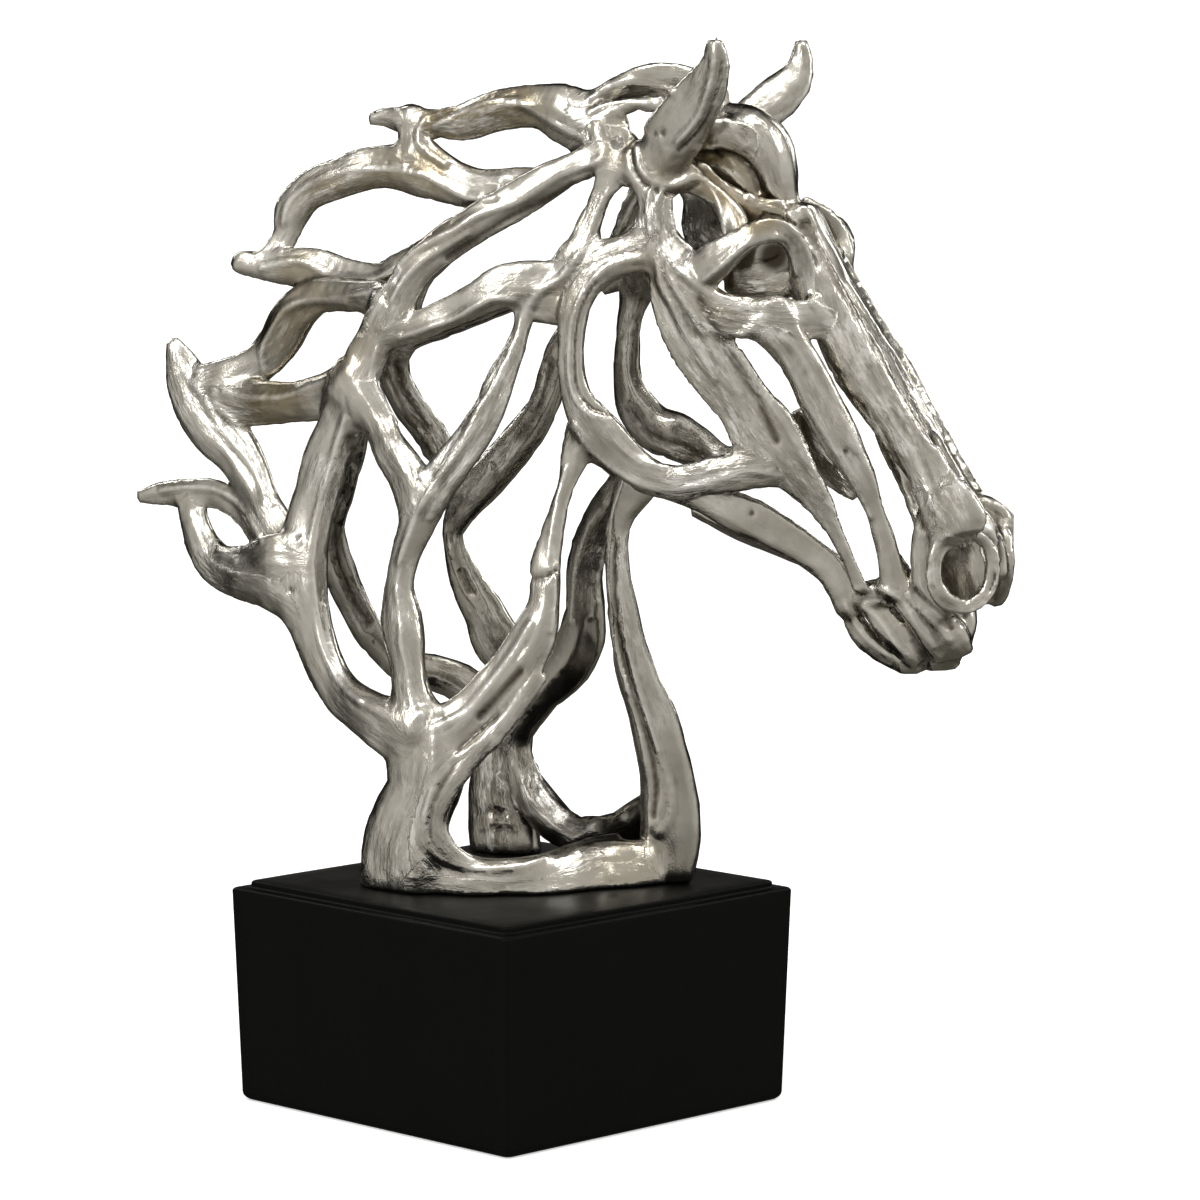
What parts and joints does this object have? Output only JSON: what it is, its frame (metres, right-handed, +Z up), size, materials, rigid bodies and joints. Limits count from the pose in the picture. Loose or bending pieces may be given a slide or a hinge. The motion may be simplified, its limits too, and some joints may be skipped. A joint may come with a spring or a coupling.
{
  "type": "horse head sculpture",
  "caption": "Openwork horse head and neck cast in champagne-silver resin, with a flying mane, standing on a tapered black square block.",
  "frame": {"origin": "centre of the block's underside", "axes": "+Z up; the block's sides face X and Y; the horse looks along +X, turned 20 degrees towards +Y"},
  "size_m": [0.3172, 0.1556, 0.3713],
  "materials": {
    "silver_resin": "champagne-silver metallic coat over cast resin, with a brown patina in the hollows",
    "black_block": "satin black paint"
  },
  "bodies": {
    "root": {"horse": "silver_resin", "block": "black_block"}
  },
  "joints": []
}
